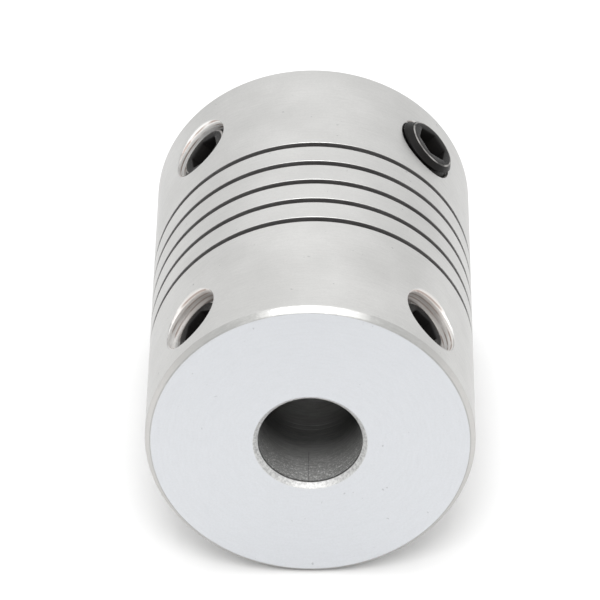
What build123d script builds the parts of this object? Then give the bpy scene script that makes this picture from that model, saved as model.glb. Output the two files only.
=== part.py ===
from build123d import *
import os
from math import cos, radians, sin

# Helical beam coupling, 19 mm in diameter and 25 mm long, for a 6 mm and an 8 mm shaft.
# +Y runs along the shaft axis from the near (6 mm) end to the far (8 mm) end, +Z is up.
# The origin is on the shaft axis, halfway along the coupling.

OUTER_D = 19.0
LENGTH = 25.0
END_CHAMFER = 0.33

NEAR_BORE_D = 6.0
FAR_BORE_D = 8.0
NEAR_BORE_CHAMFER = 0.3
FAR_BORE_CHAMFER = 0.3

# One single-start right-hand slot cut through the wall turns its middle into a flat beam.
SLOT_PITCH = 1.935
SLOT_WIDTH = 0.45
SLOT_TURNS = 4.6
SLOT_MIDDLE_Y = 0.27
RELIEF_D = 8.5
RELIEF_START_Y = -3.6
NECK_D = 6.5

# The flexing zone is divided into slabs, one for each joint that lets it flex.
SLAB_COUNT = 6
ZONE_START_Y = -4.9
ZONE_END_Y = 5.34

# Radial set screws, M4 by 4 mm, two at each end. Angles run from +Z towards +X.
NEAR_SCREW_ANGLE = 48.0
FAR_SCREW_ANGLE = 46.5
NEAR_SCREW_Y = -9.0
FAR_SCREW_Y = 8.25
HOLE_D = 4.0
HOLE_MOUTH_D = 4.5
SCREW_D = 3.9
SCREW_LENGTH = 4.0
SCREW_CHAMFER = 0.35
HEX_ACROSS_FLATS = 2.0
HEX_DEPTH = 1.8
CUP_D = 2.2
CUP_DEPTH = 0.5

# Radial height of the outer end of each screw above the shaft axis.
NEAR_LEFT_TOP = 8.7
NEAR_RIGHT_TOP = 8.7
FAR_LEFT_TOP = 9.0
FAR_RIGHT_TOP = 9.9

OUTER_R = OUTER_D / 2
RELIEF_R = RELIEF_D / 2
NEAR_END_Y = -LENGTH / 2
FAR_END_Y = LENGTH / 2
SLAB_LENGTH = (ZONE_END_Y - ZONE_START_Y) / SLAB_COUNT


def revolve_about_shaft(points):
    """Turn a closed outline of (radius, y) points about the shaft axis."""
    outline = make_face(Polyline(*points, close=True))
    return revolve(outline, axis=Axis.Y, revolution_arc=360)


def hub_solid(end_y, inner_y, bore_r, bore_chamfer):
    """One clamping end, with its bore and its two chamfered edges."""
    inward = 1 if inner_y > end_y else -1
    return revolve_about_shaft(
        [
            (bore_r + bore_chamfer, end_y),
            (OUTER_R - END_CHAMFER, end_y),
            (OUTER_R, end_y + inward * END_CHAMFER),
            (OUTER_R, inner_y),
            (bore_r, inner_y),
            (bore_r, end_y + inward * bore_chamfer),
        ]
    )


def radial_plane(y, angle):
    """A plane through the shaft axis at y whose normal points out along a screw."""
    outward = (sin(radians(angle)), 0, cos(radians(angle)))
    return Plane(origin=(0, y, 0), x_dir=(0, 1, 0), z_dir=outward)


def screw_hole(y, angle):
    """A tapped hole from the shaft axis outwards, with a countersunk mouth."""
    sink = (HOLE_MOUTH_D - HOLE_D) / 2
    drill = Pos(0, 0, OUTER_R) * Cylinder(HOLE_D / 2, 2 * OUTER_R - 2)
    mouth = Pos(0, 0, OUTER_R - sink / 2) * Cone(HOLE_D / 2, HOLE_MOUTH_D / 2, sink)
    above = Pos(0, 0, OUTER_R + 1) * Cylinder(HOLE_MOUTH_D / 2, 2)
    return radial_plane(y, angle) * (drill + mouth + above)


def helical_slot():
    """The cutter of the helical slot: a thin radial strip swept along the helix."""
    reach_in = NEAR_BORE_D / 2 - 0.2
    reach_out = OUTER_R + 0.8
    middle = (reach_in + reach_out) / 2
    height = SLOT_TURNS * SLOT_PITCH
    path = Helix(pitch=SLOT_PITCH, height=height, radius=middle)
    strip = Plane(origin=path @ 0, x_dir=(1, 0, 0), z_dir=path % 0)
    section = strip * Rectangle(reach_out - reach_in, SLOT_WIDTH)
    cutter = sweep(section, path=path, is_frenet=True)
    first = radians(-180 * SLOT_TURNS)
    start = Plane(
        origin=(0, SLOT_MIDDLE_Y - height / 2, 0),
        x_dir=(sin(first), 0, cos(first)),
        z_dir=(0, 1, 0),
    )
    return start * cutter


def flexure_slabs():
    """The slotted middle, divided by planes square to the shaft axis."""
    tube = revolve_about_shaft(
        [
            (NECK_D / 2, ZONE_START_Y),
            (OUTER_R, ZONE_START_Y),
            (OUTER_R, ZONE_END_Y),
            (RELIEF_R, ZONE_END_Y),
            (RELIEF_R, RELIEF_START_Y),
            (NECK_D / 2, RELIEF_START_Y),
        ]
    )
    beam = tube - helical_slot()
    slabs = []
    for index in range(SLAB_COUNT):
        middle = ZONE_START_Y + (index + 0.5) * SLAB_LENGTH
        slabs.append(beam & Pos(0, middle, 0) * Box(30, SLAB_LENGTH, 30))
    return slabs


def set_screw(y, angle, top):
    """A hexagon socket set screw with a cup point, its outer end at radius top."""
    bottom = top - SCREW_LENGTH
    body = Pos(0, 0, (top + bottom) / 2) * Cylinder(SCREW_D / 2, SCREW_LENGTH)
    body = chamfer(body.edges().filter_by(GeomType.CIRCLE), SCREW_CHAMFER)
    socket = extrude(
        Pos(0, 0, top - HEX_DEPTH) * RegularPolygon(HEX_ACROSS_FLATS / 2, 6, major_radius=False),
        amount=HEX_DEPTH + 1,
    )
    cup = Pos(0, 0, bottom + CUP_DEPTH / 2) * Cone(CUP_D / 2, CUP_D / 2 - CUP_DEPTH, CUP_DEPTH)
    return radial_plane(y, angle) * (body - socket - cup)


near_hub = hub_solid(NEAR_END_Y, ZONE_START_Y, NEAR_BORE_D / 2, NEAR_BORE_CHAMFER)
far_hub = hub_solid(FAR_END_Y, ZONE_END_Y, FAR_BORE_D / 2, FAR_BORE_CHAMFER)
for side in (-1, 1):
    near_hub = near_hub - screw_hole(NEAR_SCREW_Y, side * NEAR_SCREW_ANGLE)
    far_hub = far_hub - screw_hole(FAR_SCREW_Y, side * FAR_SCREW_ANGLE)

parts = {
    "near_hub": near_hub,
    "far_hub": far_hub,
    "near_left_screw": set_screw(NEAR_SCREW_Y, -NEAR_SCREW_ANGLE, NEAR_LEFT_TOP),
    "near_right_screw": set_screw(NEAR_SCREW_Y, NEAR_SCREW_ANGLE, NEAR_RIGHT_TOP),
    "far_left_screw": set_screw(FAR_SCREW_Y, -FAR_SCREW_ANGLE, FAR_LEFT_TOP),
    "far_right_screw": set_screw(FAR_SCREW_Y, FAR_SCREW_ANGLE, FAR_RIGHT_TOP),
}
for number, slab in enumerate(flexure_slabs(), start=1):
    parts[f"flexure_coil_{number}"] = slab

os.makedirs("parts", exist_ok=True)
for name, shape in parts.items():
    export_step(shape, f"parts/{name}.step")
    print(name, len(shape.solids()), round(shape.volume, 3), shape.bounding_box())
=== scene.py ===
from math import cos, hypot, pi, radians, sin, sqrt, tau
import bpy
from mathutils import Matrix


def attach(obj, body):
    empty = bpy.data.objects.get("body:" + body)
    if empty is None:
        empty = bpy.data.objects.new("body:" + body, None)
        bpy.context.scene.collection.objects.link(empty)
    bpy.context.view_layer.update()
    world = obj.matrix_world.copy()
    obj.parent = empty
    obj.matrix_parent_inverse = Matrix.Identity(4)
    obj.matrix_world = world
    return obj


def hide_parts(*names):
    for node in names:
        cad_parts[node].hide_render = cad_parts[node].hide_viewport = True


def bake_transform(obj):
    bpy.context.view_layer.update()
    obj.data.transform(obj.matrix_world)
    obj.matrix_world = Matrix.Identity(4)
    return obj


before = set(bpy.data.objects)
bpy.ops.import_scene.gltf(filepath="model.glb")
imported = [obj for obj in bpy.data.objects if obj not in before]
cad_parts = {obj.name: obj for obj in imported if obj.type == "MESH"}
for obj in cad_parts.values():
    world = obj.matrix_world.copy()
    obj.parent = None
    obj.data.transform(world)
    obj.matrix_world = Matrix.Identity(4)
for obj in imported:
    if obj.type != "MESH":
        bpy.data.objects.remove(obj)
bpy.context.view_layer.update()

from types import SimpleNamespace

import bmesh
import bpy
from mathutils import Euler, Matrix, Vector

# A helical beam coupling with four set screws. +Y runs along the shaft axis from the near
# (6 mm) end to the far (8 mm) end, +Z is up, and the origin is halfway along the axis.

MM = 0.001

# ---------------------------------------------------------------- dimensions, in mm
OUTER_R = 9.5
HALF_LENGTH = 12.5
END_CHAMFER = 0.33
EDGE_ROUNDING = 0.06
NEAR_BORE_R = 3.0
FAR_BORE_R = 4.0
BORE_CHAMFER = 0.3
RELIEF_R = 4.25
RELIEF_START = -3.6
NECK_R = 3.25
BODY_SIDES = 288

# The flexing zone is divided into slabs, one for each joint that lets it flex.
ZONE_START = -4.9
ZONE_END = 5.34
SLAB_COUNT = 6
SLAB_LENGTH = (ZONE_END - ZONE_START) / SLAB_COUNT

SLOT_PITCH = 1.935
SLOT_WIDTH = 0.45
SLOT_TURNS = 4.6
SLOT_MIDDLE = 0.27
SLOT_BREAK = 0.012
SLOT_FLARE = 0.4
SLOT_INNER_R = NEAR_BORE_R - 0.2
SLOT_STEPS_PER_TURN = 144

HOLE_R = 2.0
HOLE_MOUTH_R = 2.25
HOLE_BOTTOM = 1.6
HOLE_SIDES = 72
THREAD_PITCH = 0.7
THREAD_GROOVE = 0.03

SCREW_R = 1.95
SCREW_ROOT_R = 1.66
SCREW_LENGTH = 4.0
SCREW_CHAMFER = 0.35
SCREW_SIDES = 96
HEX_FLATS = 2.0
HEX_DEPTH = 1.8
CUP_R = 1.1
CUP_DEPTH = 0.5
SOCKET_RINGS = 6

# name: (y, angle from +Z towards +X, radius of the outer end)
SCREWS = {
    "near_left_screw": (-9.0, -48.0, 8.7),
    "near_right_screw": (-9.0, 48.0, 8.7),
    "far_left_screw": (8.25, -46.5, 9.0),
    "far_right_screw": (8.25, 46.5, 9.9),
}

# Depths in mm of two tool rings in the bores, painted as bright highlight arcs along the
# bottom.
TOOL_RING_HIGHLIGHT_DEPTHS = (5.3, 5.7)
STAIN_SPACING = 0.28

CAMERA_PLACE = (1.9485, -245.9586, 176.6974)
CAMERA_TURN = (54.49051, 0.1143, 0.53456)
CAMERA_LENS = 306.18


# ---------------------------------------------------------------- mesh helpers
def add_object(name, data):
    obj = bpy.data.objects.new(name, data)
    bpy.context.scene.collection.objects.link(obj)
    return obj


def mesh_object(name, verts, faces):
    """A mesh object from places in mm."""
    mesh = bpy.data.meshes.new(name)
    mesh.from_pydata([Vector(v) * MM for v in verts], [], faces)
    mesh.validate()
    return add_object(name, mesh)


def ring_surface(rings, closed_profile):
    """Faces between successive rings of equal length. An open row of rings is capped."""
    count = len(rings[0])
    verts = [v for ring in rings for v in ring]
    faces = []
    bands = len(rings) if closed_profile else len(rings) - 1
    for i in range(bands):
        a = i * count
        b = ((i + 1) % len(rings)) * count
        for j in range(count):
            k = (j + 1) % count
            faces.append((a + j, b + j, b + k, a + k))
    if not closed_profile:
        faces.append(tuple(range(count)))
        faces.append(tuple(range(len(verts) - count, len(verts))))
    return verts, faces


def ring_solid(name, rings, closed_profile=False):
    """A closed solid through the rings, with its faces turned outwards."""
    obj = mesh_object(name, *ring_surface(rings, closed_profile))
    bm = bmesh.new()
    bm.from_mesh(obj.data)
    bmesh.ops.recalc_face_normals(bm, faces=bm.faces)
    bm.to_mesh(obj.data)
    bm.free()
    return obj


def cut_away(obj, cutter):
    """Subtract the cutter from obj and delete it."""
    mod = obj.modifiers.new("cut", "BOOLEAN")
    mod.operation = "DIFFERENCE"
    mod.solver = "MANIFOLD"
    mod.object = cutter
    graph = bpy.context.evaluated_depsgraph_get()
    result = bpy.data.meshes.new_from_object(obj.evaluated_get(graph))
    obj.modifiers.clear()
    old = obj.data
    obj.data = result
    bpy.data.meshes.remove(old)
    bpy.data.objects.remove(cutter, do_unlink=True)


# ---------------------------------------------------------------- the coupling body
def rounded_corner(radius, y, before, after, steps=4):
    """Points of a small rounding at a corner; before and after are offsets to its ends."""
    points = []
    for i in range(steps + 1):
        t = i / steps
        a = (1 - t) ** 2
        b = 2 * t * (1 - t)
        c = t ** 2
        points.append((
            a * (radius + before[0]) + b * radius + c * (radius + after[0]),
            a * (y + before[1]) + b * y + c * (y + after[1]),
        ))
    return points


def body_profile():
    """The turned outline as (radius, y), with finely rounded edges."""
    e = EDGE_ROUNDING
    d = e * sqrt(0.5)
    h = HALF_LENGTH
    points = rounded_corner(NEAR_BORE_R, -h + BORE_CHAMFER, (0, e), (d, -d))
    points += rounded_corner(NEAR_BORE_R + BORE_CHAMFER, -h, (-d, d), (e, 0))
    points += rounded_corner(OUTER_R - END_CHAMFER, -h, (-e, 0), (d, d))
    points += rounded_corner(OUTER_R, -h + END_CHAMFER, (-d, -d), (0, e))
    points += [(OUTER_R, -h + 1.0 + (2 * h - 2.0) * i / 24) for i in range(1, 24)]
    points += rounded_corner(OUTER_R, h - END_CHAMFER, (0, -e), (-d, d))
    points += rounded_corner(OUTER_R - END_CHAMFER, h, (d, -d), (-e, 0))
    points += rounded_corner(FAR_BORE_R + BORE_CHAMFER, h, (e, 0), (-d, -d))
    points += rounded_corner(FAR_BORE_R, h - BORE_CHAMFER, (d, d), (0, -e))
    # The steps inside lie just off the planes that divide the zone, so each cut is clean.
    points += [
        (FAR_BORE_R, ZONE_END - 0.01),
        (RELIEF_R, ZONE_END - 0.03),
        (RELIEF_R, RELIEF_START),
        (NECK_R, RELIEF_START),
        (NECK_R, ZONE_START + 0.03),
        (NEAR_BORE_R, ZONE_START + 0.01),
    ]
    return points


def build_body():
    rings = [
        [
            (radius * sin(tau * j / BODY_SIDES), y, radius * cos(tau * j / BODY_SIDES))
            for j in range(BODY_SIDES)
        ]
        for radius, y in body_profile()
    ]
    return ring_solid("body_blank", rings, closed_profile=True)


def slot_cutter():
    """A helical strip whose outer edges flare out a little, to break the slot's edges."""
    half = SLOT_WIDTH / 2
    flare = half + SLOT_BREAK + SLOT_FLARE
    section = [
        (SLOT_INNER_R, -half),
        (OUTER_R - SLOT_BREAK, -half),
        (OUTER_R + SLOT_FLARE, -flare),
        (OUTER_R + SLOT_FLARE, flare),
        (OUTER_R - SLOT_BREAK, half),
        (SLOT_INNER_R, half),
    ]
    steps = int(SLOT_TURNS * SLOT_STEPS_PER_TURN)
    rings = []
    for i in range(steps + 1):
        turn = SLOT_TURNS * (i / steps - 0.5)
        y = SLOT_MIDDLE + SLOT_PITCH * turn
        rings.append([(r * sin(tau * turn), y + dy, r * cos(tau * turn)) for r, dy in section])
    return ring_solid("slot_cutter", rings)


def radial_matrix(y, angle):
    """Local Z along the screw, local X along the coupling."""
    a = radians(angle)
    outward = Vector((sin(a), 0, cos(a)))
    along = Vector((0, 1, 0))
    matrix = Matrix((along, outward.cross(along), outward)).transposed().to_4x4()
    matrix.translation = Vector((0, y, 0)) * MM
    return matrix


def thread_rings(z_low, z_high, radius_at, sides, steps):
    """Rings that follow a right-hand thread. radius_at takes the ridge's height and z."""
    rings = []
    for i in range(steps + 1):
        z = z_low + (z_high - z_low) * i / steps
        ring = []
        for j in range(sides):
            a = tau * j / sides
            phase = (z / THREAD_PITCH - a / tau) % 1.0
            r = radius_at(1 - abs(2 * phase - 1), z)
            ring.append((r * cos(a), r * sin(a), z))
        rings.append(ring)
    return rings


def hole_cutter(y, angle):
    """A tapped hole with a countersunk mouth."""
    sink_start = OUTER_R - (HOLE_MOUTH_R - HOLE_R)

    def radius_at(ridge, z):
        groove = THREAD_GROOVE * min(1.0, max(0.0, (ridge - 0.25) * 2))
        if z > sink_start:
            return max(HOLE_R + z - sink_start, HOLE_R + groove * 0.5)
        return HOLE_R + groove

    rings = thread_rings(HOLE_BOTTOM, OUTER_R + 0.6, radius_at, HOLE_SIDES, 110)
    obj = ring_solid("hole_cutter", rings)
    obj.data.transform(radial_matrix(y, angle))
    return obj


def slab_piece(blank, name, y_low, y_high):
    """A closed piece of the body between two planes square to the axis."""
    bm = bmesh.new()
    bm.from_mesh(blank.data)
    for y, keep_above in ((y_low, True), (y_high, False)):
        if y is None:
            continue
        cut = bmesh.ops.bisect_plane(
            bm,
            geom=bm.verts[:] + bm.edges[:] + bm.faces[:],
            dist=1e-8,
            plane_co=(0, y * MM, 0),
            plane_no=(0, 1, 0),
            clear_outer=not keep_above,
            clear_inner=keep_above,
        )
        edges = [g for g in cut["geom_cut"] if isinstance(g, bmesh.types.BMEdge)]
        bmesh.ops.triangle_fill(bm, edges=edges, use_beauty=True, normal=(0, 1, 0))
    bmesh.ops.recalc_face_normals(bm, faces=bm.faces)
    mesh = bpy.data.meshes.new(name)
    bm.to_mesh(mesh)
    bm.free()
    return add_object(name, mesh)


def wall_radius(y, faces_out):
    """The radius in mm of the turned wall at y, for a wall that faces out or in."""
    if faces_out:
        return OUTER_R
    if y < ZONE_START + 0.02:
        return NEAR_BORE_R
    if y > ZONE_END - 0.02:
        return FAR_BORE_R
    return NECK_R if y < RELIEF_START else RELIEF_R


def smooth_turned_surfaces(mesh):
    """Exact normals on the turned surfaces, flat ones on the slot and the cut faces."""
    for poly in mesh.polygons:
        poly.use_smooth = True
    mesh.update()
    tolerance = 0.02 * MM
    normals = [None] * len(mesh.loops)
    for poly in mesh.polygons:
        face_n = poly.normal.copy()
        lean = face_n.dot(Vector((poly.center.x, 0, poly.center.z)).normalized())
        for loop in poly.loop_indices:
            co = mesh.vertices[mesh.loops[loop].vertex_index].co
            off_wall = abs(hypot(co.x, co.z) - wall_radius(co.y / MM, lean > 0) * MM)
            n = face_n
            if abs(lean) > 0.5 and off_wall < tolerance:
                out = Vector((co.x, 0, co.z)).normalized()
                flat = sqrt(max(0.0, 1 - face_n.y ** 2))
                n = out * (flat if lean > 0 else -flat) + Vector((0, face_n.y, 0))
            normals[loop] = n.normalized()
    mesh.normals_split_custom_set(normals)


def store_rest_place(mesh):
    """Keep each point's place at rest, so that the material stays put as the beam flexes."""
    places = [0.0] * (3 * len(mesh.vertices))
    mesh.vertices.foreach_get("co", places)
    rest = mesh.attributes.new("rest_place", "FLOAT_VECTOR", "POINT")
    rest.data.foreach_set("vector", places)


def coupling_pieces(material):
    blank = build_body()
    cut_away(blank, slot_cutter())
    for y, angle, _ in SCREWS.values():
        cut_away(blank, hole_cutter(y, angle))

    planes = [ZONE_START + i * SLAB_LENGTH for i in range(SLAB_COUNT + 1)]
    chain = ["near_hub"] + [f"coil_{i}" for i in range(1, SLAB_COUNT)] + ["far_hub"]
    slabs = [("near_hub", None, planes[0]), ("far_hub", planes[-1], None)]
    slabs += [(f"flexure_coil_{i + 1}", planes[i], planes[i + 1]) for i in range(SLAB_COUNT)]
    for node, low, high in slabs:
        obj = slab_piece(blank, node + "_turned", low, high)
        smooth_turned_surfaces(obj.data)
        store_rest_place(obj.data)
        obj.data.materials.append(material)
        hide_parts(node)
        if node in chain:
            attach(obj, node)
        else:
            i = int(node.split("_")[-1])
            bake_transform(obj)
    bpy.data.objects.remove(blank, do_unlink=True)


# ---------------------------------------------------------------- the set screws
def circle(radius, z):
    """A ring of points round a screw."""
    angles = [tau * j / SCREW_SIDES for j in range(SCREW_SIDES)]
    return [(radius * cos(a), radius * sin(a), z) for a in angles]


def hexagon(scale, z):
    """A ring round the hexagon socket's wall, with slightly eased corners."""
    ring = []
    for j in range(SCREW_SIDES):
        a = tau * j / SCREW_SIDES
        from_flat = (a + pi / 6) % (pi / 3) - pi / 6
        r = scale * HEX_FLATS / 2 * min(1 / cos(from_flat), 1.13)
        ring.append((r * cos(a), r * sin(a), z))
    return ring


def mark_rings(mesh, name, rings):
    """A point attribute that is 1 on the given rings of a screw and 0 elsewhere."""
    mark = mesh.attributes.new(name, "FLOAT", "POINT")
    for ring in rings:
        for i in range(SCREW_SIDES):
            mark.data[ring * SCREW_SIDES + i].value = 1.0


def screw_mesh(name):
    """Local Z along the screw, its outer end at z = 0."""

    def radius_at(ridge, z):
        crest = min(1.0, max(0.0, ridge * 1.35 - 0.05))
        thread = SCREW_ROOT_R + (SCREW_R - SCREW_ROOT_R) * crest
        outer_chamfer = SCREW_R - SCREW_CHAMFER + max(0.0, -z)
        inner_chamfer = CUP_R + 0.1 + max(0.0, z + SCREW_LENGTH)
        return min(thread, outer_chamfer, inner_chamfer)

    face_r = SCREW_R - SCREW_CHAMFER - 0.06
    rings = [
        circle(0.02, -HEX_DEPTH - 0.45),
        circle(0.6, -HEX_DEPTH - 0.2),
        hexagon(0.97, -HEX_DEPTH),
        hexagon(1.0, -HEX_DEPTH + 0.03),
        hexagon(1.0, -HEX_DEPTH * 0.5),
        hexagon(1.0, -0.06),
        hexagon(1.03, -0.015),
        hexagon(1.06, 0.0),
        circle(face_r - 0.12, 0.0),
        circle(face_r - 0.05, 0.0),
        circle(face_r, -0.005),
    ]
    rim = len(rings) - 1
    rings += reversed(thread_rings(-SCREW_LENGTH, -0.03, radius_at, SCREW_SIDES, 130))
    rings += [
        circle(CUP_R + 0.08, -SCREW_LENGTH),
        circle(CUP_R, -SCREW_LENGTH + 0.02),
        circle(CUP_R * 0.5, -SCREW_LENGTH + CUP_DEPTH * 0.8),
        circle(0.02, -SCREW_LENGTH + CUP_DEPTH),
    ]
    obj = ring_solid(name, rings)
    mesh = obj.data
    # The rim of the screw's end is marked for a lighter line: partly worn oxide, partly a
    # painted highlight.
    mark_rings(mesh, "rim_wear_and_highlight", (rim, rim + 1))
    mark_rings(mesh, "socket", range(SOCKET_RINGS))
    for poly in mesh.polygons:
        poly.use_smooth = True
    bm = bmesh.new()
    bm.from_mesh(mesh)
    for edge in bm.edges:
        if len(edge.link_faces) == 2 and edge.calc_face_angle(0) > radians(35):
            edge.smooth = False
    bm.to_mesh(mesh)
    bm.free()
    return obj


def set_screws(material):
    for i, (node, (y, angle, top)) in enumerate(SCREWS.items()):
        obj = screw_mesh(node + "_threaded")
        turn = Matrix.Rotation(radians(17 + 41 * i), 4, "Z")
        lift = Matrix.Translation((0, 0, top * MM))
        obj.data.transform(radial_matrix(y, angle) @ lift @ turn)
        obj.data.materials.append(material)
        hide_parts(node)
        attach(obj, node)


# ---------------------------------------------------------------- materials
class Nodes:
    """A short way to write node trees. Lengths in them are in mm."""

    def __init__(self, name):
        self.material = bpy.data.materials.new(name)
        self.material.use_nodes = True
        self.tree = self.material.node_tree
        self.tree.nodes.clear()
        out = self.add("ShaderNodeOutputMaterial")
        self.shader = self.add("ShaderNodeBsdfPrincipled")
        self.put(self.shader.outputs["BSDF"], out.inputs["Surface"])

    def add(self, kind, **props):
        node = self.tree.nodes.new(kind)
        for key, value in props.items():
            setattr(node, key, value)
        return node

    def put(self, value, socket):
        """Link an output to the socket, or set the socket to a constant."""
        if isinstance(value, bpy.types.NodeSocket):
            self.tree.links.new(value, socket)
        else:
            socket.default_value = value

    def shade(self, **values):
        """Set the shader's inputs by name, with _ for a space."""
        for key, value in values.items():
            self.put(value, self.shader.inputs[key.replace("_", " ")])

    def attribute(self, name, output):
        return self.add("ShaderNodeAttribute", attribute_name=name).outputs[output]

    def millimetres(self, vector):
        node = self.add("ShaderNodeVectorMath", operation="SCALE")
        self.put(vector, node.inputs[0])
        node.inputs["Scale"].default_value = 1 / MM
        return node.outputs[0]

    def object_place(self):
        return self.millimetres(self.add("ShaderNodeTexCoord").outputs["Object"])

    def split(self, vector):
        node = self.add("ShaderNodeSeparateXYZ")
        self.put(vector, node.inputs[0])
        return node.outputs

    def combine(self, x, y, z):
        node = self.add("ShaderNodeCombineXYZ")
        for socket, value in zip(node.inputs, (x, y, z)):
            self.put(value, socket)
        return node.outputs[0]

    def math(self, op, a, b=0.0):
        node = self.add("ShaderNodeMath", operation=op)
        self.put(a, node.inputs[0])
        self.put(b, node.inputs[1])
        return node.outputs[0]

    def mul(self, first, *others):
        for value in others:
            first = self.math("MULTIPLY", first, value)
        return first

    def plus(self, first, *others):
        for value in others:
            first = self.math("ADD", first, value)
        return first

    def less(self, a, b):
        return self.math("SUBTRACT", a, b)

    def noise(self, vector, scale, detail=3.0, rough=0.5):
        node = self.add("ShaderNodeTexNoise")
        self.put(vector, node.inputs["Vector"])
        node.inputs["Scale"].default_value = scale
        node.inputs["Detail"].default_value = detail
        node.inputs["Roughness"].default_value = rough
        return node.outputs["Fac"]

    def ramp(self, value, low, high, to_low=0.0, to_high=1.0):
        node = self.add("ShaderNodeMapRange", clamp=True)
        for socket, v in zip(node.inputs, (value, low, high, to_low, to_high)):
            self.put(v, socket)
        return node.outputs["Result"]

    def band(self, value, low, high, soft):
        """1 between low and high, with soft edges."""
        up = self.ramp(value, low - soft, low + soft)
        down = self.ramp(value, high - soft, high + soft, 1.0, 0.0)
        return self.mul(up, down)

    def mix(self, fac, a, b):
        node = self.add("ShaderNodeMix", data_type="RGBA")
        for index, value in ((0, fac), (6, a), (7, b)):
            self.put(value, node.inputs[index])
        return node.outputs[2]

    def bump(self, height, strength):
        node = self.add("ShaderNodeBump")
        node.inputs["Strength"].default_value = strength
        node.inputs["Distance"].default_value = 0.02 * MM
        self.put(height, node.inputs["Height"])
        self.shade(Normal=node.outputs[0])


def body_surfaces(m):
    """Where a point lies on the body: its place in mm, and a mask for each surface."""
    place = m.millimetres(m.attribute("rest_place", "Vector"))
    x, y, z = m.split(place)
    radius = m.math("SQRT", m.plus(m.mul(x, x), m.mul(z, z)))
    far = m.math("ABSOLUTE", y)
    depth = m.less(HALF_LENGTH, far)
    normal_y = m.split(m.add("ShaderNodeNewGeometry").outputs["True Normal"])[1]
    faces_end = m.ramp(m.math("ABSOLUTE", normal_y), 0.85, 0.95)
    on_face = m.mul(faces_end, m.ramp(depth, 0.15, 0.05))
    on_edge = m.mul(m.ramp(depth, 0.36, 0.30), m.less(1.0, on_face))
    return SimpleNamespace(
        place=place,
        x=x,
        y=y,
        z=z,
        radius=radius,
        depth=depth,
        round_x=m.math("DIVIDE", x, radius),
        round_z=m.math("DIVIDE", z, radius),
        faces_out_of_end=m.mul(normal_y, m.math("SIGN", y)),
        on_face=on_face,
        on_edge=on_edge,
        on_bore_edge=m.mul(on_edge, m.ramp(radius, 6.0, 5.0)),
        on_rim=m.mul(on_edge, m.ramp(radius, 5.0, 6.0)),
        in_hole=m.mul(m.band(radius, 4.4, 9.44, 0.03), m.band(far, 5.5, 12.1, 0.05)),
        in_slot=m.mul(m.band(radius, 3.4, 9.45, 0.02), m.ramp(far, 5.3, 5.2)),
        in_bore=m.mul(m.ramp(radius, 4.35, 4.3), m.ramp(depth, 0.26, 0.3)),
    )


def body_textures(m, s):
    """The noises that the aluminium's colour, roughness and relief share."""

    def round_noise(stretch, along, scale, detail, rough):
        """Noise drawn out round the axis; stretch is the radius it is wrapped on."""
        round_x = m.mul(s.round_x, stretch)
        round_z = m.mul(s.round_z, stretch)
        return m.noise(m.combine(round_x, along, round_z), scale, detail, rough)

    round_lines = round_noise(0.9, s.y, 9.0, 4.0, 0.65)
    face_lines = round_noise(1.2, s.radius, 6.0, 4.0, 0.65)
    off_face = m.less(1.0, s.on_face)
    return SimpleNamespace(
        lines=m.plus(m.mul(round_lines, off_face), m.mul(face_lines, s.on_face)),
        rings=round_noise(0.4, s.y, 7.0, 4.0, 0.7),
        chips=round_noise(2.2, s.depth, 9.5, 3.0, 0.75),
        grain=m.noise(s.place, 8.0, 3.0, 0.7),
        cloud=m.noise(s.place, 0.23, 4.0, 0.55),
        speck=m.ramp(m.noise(s.place, 2.6, 1.0, 0.5), 0.77, 0.81),
    )


def turned_colour(m, s, t):
    """The outside: fine lathe lines, grain and a few dark specks."""
    clouds = m.ramp(t.cloud, 0.32, 0.68)
    body = m.mix(clouds, (0.610, 0.608, 0.596, 1), (0.690, 0.687, 0.675, 1))
    face = m.mix(t.cloud, (0.551, 0.564, 0.586, 1), (0.577, 0.590, 0.612, 1))
    # Painted light: the end face is lighter towards the bottom.
    face = m.mix(m.ramp(s.z, 9.0, -9.0), face, (0.640, 0.654, 0.676, 1))
    base = m.mix(s.on_face, body, face)
    streak = m.mul(m.ramp(t.lines, 0.35, 0.65), m.ramp(s.on_face, 0.0, 1.0, 0.09, 0.04))
    base = m.mix(streak, base, (0.42, 0.42, 0.41, 1))
    base = m.mix(m.mul(m.ramp(t.grain, 0.35, 0.65), 0.16), base, (0.45, 0.45, 0.45, 1))
    return m.mix(m.mul(t.speck, 0.40), base, (0.25, 0.25, 0.26, 1))


def rim_colour_and_highlight(m, s, t):
    """The hand-broken rim, with a painted highlight along its top, painted shade on the
    shoulders beside it, and a duller mid grey down its sides.
    """
    # Painted highlight: a bright band along the top of the rim.
    top = m.ramp(m.plus(s.round_z, m.mul(t.cloud, 0.10)), 0.985, 1.035)
    # Painted shade: the rim's shoulders beside the highlight are darker than its sides.
    shoulder = m.ramp(s.round_z, 0.55, 0.85)
    side = m.mix(shoulder, (0.55, 0.54, 0.525, 1), (0.42, 0.42, 0.41, 1))
    rim = m.mix(top, side, (0.76, 0.76, 0.745, 1))
    # A darker strip along the edge with the end face narrows the painted highlight.
    rim = m.mix(m.ramp(s.depth, 0.09, 0.04), rim, (0.38, 0.38, 0.37, 1))
    return m.mix(m.ramp(t.chips, 0.45, 0.62, 0.0, 0.5), rim, (0.50, 0.50, 0.49, 1))


def hole_colour_and_shade(m, s):
    """Tapped holes are bright and browner along the thread, with painted shade on their inward
    side.
    """
    along = m.plus(m.mul(m.math("ABSOLUTE", s.x), 0.734), m.mul(s.z, 0.679))
    turns = m.math("SINE", m.mul(along, tau / STAIN_SPACING))
    patches = m.ramp(m.noise(s.place, 0.7, 2.0, 0.5), 0.36, 0.52)
    stain = m.mul(m.ramp(turns, 0.3, 0.9), patches, 0.8)
    wall = m.mix(stain, (0.93, 0.92, 0.90, 1), (0.30, 0.20, 0.16, 1))
    # Painted shade: the wall on each hole's inward side is darkened.
    shade = m.ramp(s.faces_out_of_end, 0.2, 0.9, 0.0, 0.55)
    return m.mix(shade, wall, (0.40, 0.35, 0.32, 1))


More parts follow.
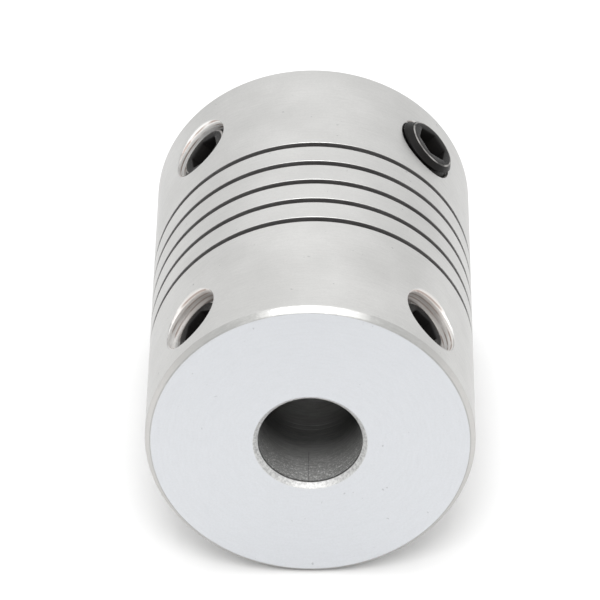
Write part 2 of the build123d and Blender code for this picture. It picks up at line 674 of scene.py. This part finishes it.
def bore_colour_and_shade(m, s, t, mouth):
    """Rough chips at the bore's mouth and painted shade: darker further in and on top, lighter
    along the bottom, and lifted again deeper in. Two faint tool rings are painted as
    highlights.
    """
    # Painted shade darkens the bore further in; painted light lifts it again from 5 mm in.
    bright = m.plus(
        m.ramp(s.depth, 1.0, 4.2, 0.66, 0.17),
        m.ramp(s.depth, 5.0, 7.0, 0.0, 0.22),
    )
    # Painted light along the bore's bottom, painted shade on its top.
    bright = m.mul(bright, m.ramp(s.round_z, 0.0, -0.95, 0.45, 1.08))
    bright = m.mul(bright, m.ramp(t.rings, 0.3, 0.7, 0.80, 1.20))
    chip = m.mul(m.ramp(t.chips, 0.52, 0.66, -0.25, 1.0), mouth, 0.9)
    bright = m.mul(bright, m.plus(1.0, chip))
    # Painted highlight: each tool ring is a bright arc drawn only along the bottom of the
    # bore.
    for ring_depth in TOOL_RING_HIGHLIGHT_DEPTHS:
        ring = m.band(s.depth, ring_depth - 0.02, ring_depth + 0.02, 0.02)
        underneath = m.ramp(s.round_z, -0.80, -0.95)
        broken = m.ramp(t.cloud, 0.42, 0.56, 0.2, 0.9)
        bright = m.plus(bright, m.mul(ring, underneath, broken))
    below = m.mul(m.ramp(s.z, 0.0, -1.0), m.ramp(s.depth, 3.2, 3.0))
    scratch = m.mul(m.band(s.x, -0.12, -0.09, 0.02), below, 0.6)
    # Painted shadow: a dark line just inside the bore's mouth, under the burred lip.
    lip_shadow = m.mul(m.ramp(s.depth, 0.44, 0.36), 0.75)
    bright = m.mul(bright, m.less(1.0, scratch), m.less(1.0, lip_shadow))
    return m.combine(bright, bright, m.mul(bright, 0.985))


def turned_aluminium():
    m = Nodes("turned_aluminium")
    s = body_surfaces(m)
    t = body_textures(m, s)
    mouth = m.ramp(s.depth, 0.6, 3.4, 1.0, 0.0)
    rough_edge = m.ramp(t.chips, 0.42, 0.66)
    bore_edge = m.mix(rough_edge, (0.66, 0.66, 0.65, 1), (0.42, 0.42, 0.42, 1))
    base = m.mix(s.on_rim, turned_colour(m, s, t), rim_colour_and_highlight(m, s, t))
    base = m.mix(s.on_bore_edge, base, bore_edge)
    base = m.mix(s.in_hole, base, hole_colour_and_shade(m, s))
    # Painted shade: the slot walls, and the relief wall inside them, are a dark grey.
    base = m.mix(s.in_slot, base, (0.36, 0.35, 0.35, 1))
    base = m.mix(s.in_bore, base, bore_colour_and_shade(m, s, t, mouth))

    rough = m.plus(
        m.ramp(t.lines, 0.3, 0.7, 0.34, 0.44),
        m.mul(t.cloud, 0.06),
        m.mul(s.in_hole, 0.12),
        m.mul(s.in_bore, 0.15),
        m.mul(s.on_bore_edge, 0.15),
    )
    metal = m.less(m.less(0.9, m.mul(s.in_bore, 0.1)), m.mul(s.in_hole, 0.3))
    m.shade(
        Base_Color=base,
        Roughness=rough,
        Metallic=metal,
        Specular_Tint=(0.72, 0.72, 0.72, 1),
    )
    height = m.plus(
        m.mul(t.lines, 0.4),
        m.mul(t.grain, 0.5),
        m.mul(t.rings, s.in_bore, 2.0),
        m.mul(t.chips, s.in_bore, mouth, 3.0),
        m.mul(t.chips, s.on_edge, 3.0),
        m.mul(t.speck, -0.8),
    )
    m.bump(height, 0.45)
    return m.material


def black_oxide_steel():
    m = Nodes("black_oxide_steel")
    place = m.object_place()
    cloud = m.noise(place, 0.9, 4.0, 0.6)
    fine = m.noise(place, 7.0, 3.0, 0.6)
    # A lighter line round the rim of the screw's end: partly worn oxide, partly a painted
    # highlight.
    rim_wear_and_highlight = m.ramp(m.attribute("rim_wear_and_highlight", "Fac"), 0.62, 1.0)
    worn_and_highlit = m.mul(rim_wear_and_highlight, m.ramp(cloud, 0.42, 0.6, 0.15, 1.0))
    base = m.mix(cloud, (0.003, 0.003, 0.0035, 1), (0.011, 0.010, 0.009, 1))
    m.shade(
        Base_Color=m.mix(worn_and_highlit, base, (0.30, 0.29, 0.28, 1)),
        Roughness=m.ramp(fine, 0.3, 0.7, 0.30, 0.50),
        Specular_IOR_Level=m.ramp(m.attribute("socket", "Fac"), 0.0, 1.0, 0.12, 0.04),
    )
    m.bump(m.plus(fine, cloud), 0.3)
    return m.material


# ---------------------------------------------------------------- stage, light, camera
def floor():
    s = 3000.0
    z = -OUTER_R - 0.02
    corners = [(-s, -s, z), (s, -s, z), (s, s, z), (-s, s, z)]
    obj = mesh_object("studio_floor", corners, [(0, 1, 2, 3)])
    m = Nodes("studio_paper")
    patches = m.noise(m.object_place(), 0.04, 2.0)
    m.shade(
        Base_Color=m.mix(patches, (0.85, 0.85, 0.85, 1), (0.87, 0.87, 0.87, 1)),
        Roughness=0.9,
    )
    obj.data.materials.append(m.material)


def softbox(name, place, width, height, power):
    """A rectangular light aimed at the middle of the coupling."""
    data = bpy.data.lights.new(name, "AREA")
    data.shape = "RECTANGLE"
    data.size = width * MM
    data.size_y = height * MM
    data.energy = power
    obj = add_object(name, data)
    obj.location = Vector(place) * MM
    obj.rotation_euler = (-Vector(place)).to_track_quat("-Z", "Y").to_euler()


def light():
    world = bpy.data.worlds.new("studio")
    bpy.context.scene.world = world
    world.use_nodes = True
    background = world.node_tree.nodes["Background"]
    background.inputs["Color"].default_value = (1.0, 1.0, 1.0, 1)
    background.inputs["Strength"].default_value = 0.92
    softbox("top_softbox", (-10, 60, 320), 340, 340, 0.35)
    softbox("front_softbox", (0, -190, 265), 120, 150, 0.5)
    bpy.context.scene.view_settings.view_transform = "Standard"
    bpy.context.scene.view_settings.look = "None"


def camera():
    data = bpy.data.cameras.new("photo_camera")
    data.lens = CAMERA_LENS
    data.sensor_width = 36.0
    data.clip_start = 0.01
    data.clip_end = 20.0
    obj = add_object("photo_camera", data)
    obj.location = Vector(CAMERA_PLACE) * MM
    obj.rotation_euler = Euler([radians(angle) for angle in CAMERA_TURN])
    bpy.context.scene.camera = obj


coupling_pieces(turned_aluminium())
set_screws(black_oxide_steel())
floor()
light()
camera()
